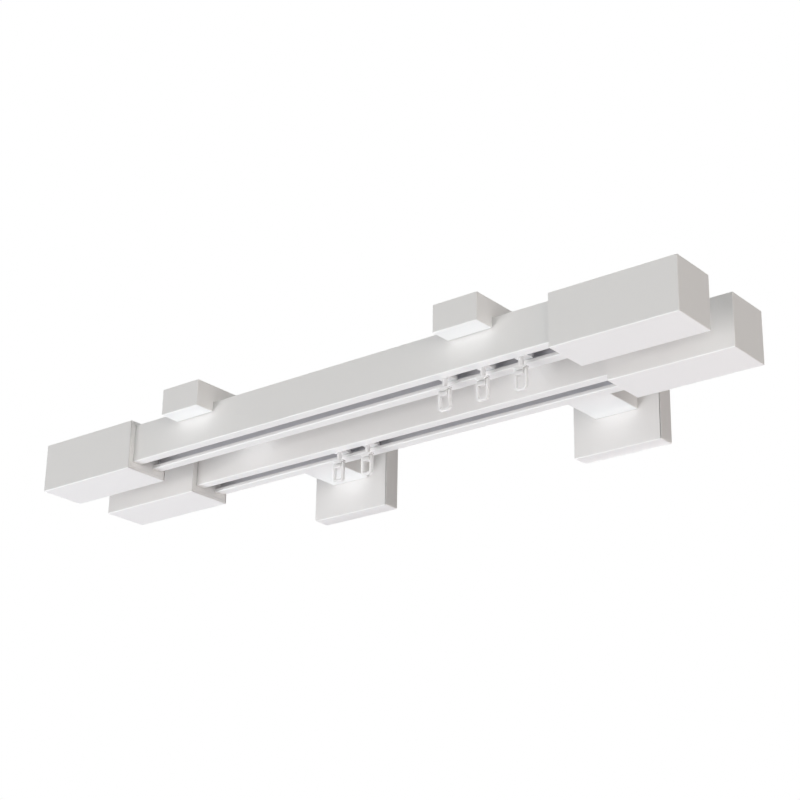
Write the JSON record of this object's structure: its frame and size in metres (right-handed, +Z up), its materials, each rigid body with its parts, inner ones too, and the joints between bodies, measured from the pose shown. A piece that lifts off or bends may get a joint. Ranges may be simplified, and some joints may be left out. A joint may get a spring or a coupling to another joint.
{
  "type": "double curtain rod",
  "caption": "Double curtain rod: two square inner-track rails with box end caps on two wall brackets, with gliders and swinging loops for curtain hooks.",
  "frame": {"origin": "on the wall plane, midway between the two brackets, level with the middle of their arms", "axes": "+X along the rods to the right as seen from the room, +Y into the wall, +Z up"},
  "size_m": [0.392, 0.143, 0.061],
  "materials": {
    "rail_white": "white powder coat, satin",
    "cap_white": "white powder coat, satin",
    "bracket_white": "white powder coat, satin",
    "plug_plastic": "moulded white plastic",
    "plate_steel": "zinc-plated steel",
    "zinc_fixings": "zinc-plated steel",
    "glider_plastic": "milky translucent plastic",
    "loop_plastic": "milky translucent plastic"
  },
  "bodies": {
    "root": {"front_rail": "rail_white", "rear_rail": "rail_white", "front_left_cap": "cap_white", "front_right_cap": "cap_white", "rear_left_cap": "cap_white", "rear_right_cap": "cap_white", "front_left_plug": "plug_plastic", "front_right_plug": "plug_plastic", "rear_left_plug": "plug_plastic", "rear_right_plug": "plug_plastic", "plug_grub_screws": "zinc_fixings", "left_arm": "bracket_white", "right_arm": "bracket_white", "left_wall_plate": "plate_steel", "right_wall_plate": "plate_steel", "left_wall_cover": "bracket_white", "right_wall_cover": "bracket_white", "arm_screws": "zinc_fixings", "rail_screws": "zinc_fixings", "clamp_nuts": "zinc_fixings"},
    "front_glider_1": {"front_glider_1": "glider_plastic"},
    "front_loop_1": {"front_loop_1": "loop_plastic"},
    "front_glider_2": {"front_glider_2": "glider_plastic"},
    "front_loop_2": {"front_loop_2": "loop_plastic"},
    "front_glider_3": {"front_glider_3": "glider_plastic"},
    "front_loop_3": {"front_loop_3": "loop_plastic"},
    "rear_glider_1": {"rear_glider_1": "glider_plastic"},
    "rear_loop_1": {"rear_loop_1": "loop_plastic"},
    "rear_glider_2": {"rear_glider_2": "glider_plastic"},
    "rear_loop_2": {"rear_loop_2": "loop_plastic"}
  },
  "joints": [
    {"name": "front_glider_1_slide", "type": "slide", "parent": "root", "child": "front_glider_1", "axis": [1, 0, 0], "range_m": [-0.1919, 0.00715]},
    {"name": "front_loop_1_swing", "type": "hinge", "parent": "front_glider_1", "child": "front_loop_1", "pos_m": [0.0646, -0.121, -0.0262], "axis": [1, 0, 0], "range_deg": [-90, 90]},
    {"name": "front_glider_2_slide", "type": "slide", "parent": "root", "child": "front_glider_2", "axis": [1, 0, 0], "range_m": [-0.00715, 0.00685]},
    {"name": "front_loop_2_swing", "type": "hinge", "parent": "front_glider_2", "child": "front_loop_2", "pos_m": [0.0862, -0.121, -0.0262], "axis": [1, 0, 0], "range_deg": [-90, 90]},
    {"name": "front_glider_3_slide", "type": "slide", "parent": "root", "child": "front_glider_3", "axis": [1, 0, 0], "range_m": [-0.00685, 0.0201]},
    {"name": "front_loop_3_swing", "type": "hinge", "parent": "front_glider_3", "child": "front_loop_3", "pos_m": [0.1072, -0.121, -0.0262], "axis": [1, 0, 0], "range_deg": [-90, 90]},
    {"name": "rear_glider_1_slide", "type": "slide", "parent": "root", "child": "rear_glider_1", "axis": [1, 0, 0], "range_m": [-0.0885, 0.0057]},
    {"name": "rear_loop_1_swing", "type": "hinge", "parent": "rear_glider_1", "child": "rear_loop_1", "pos_m": [-0.0388, -0.0745, -0.0262], "axis": [1, 0, 0], "range_deg": [-90, 90]},
    {"name": "rear_glider_2_slide", "type": "slide", "parent": "root", "child": "rear_glider_2", "axis": [1, 0, 0], "range_m": [-0.0057, 0.1474]},
    {"name": "rear_loop_2_swing", "type": "hinge", "parent": "rear_glider_2", "child": "rear_loop_2", "pos_m": [-0.0201, -0.0745, -0.0262], "axis": [1, 0, 0], "range_deg": [-90, 90]}
  ]
}
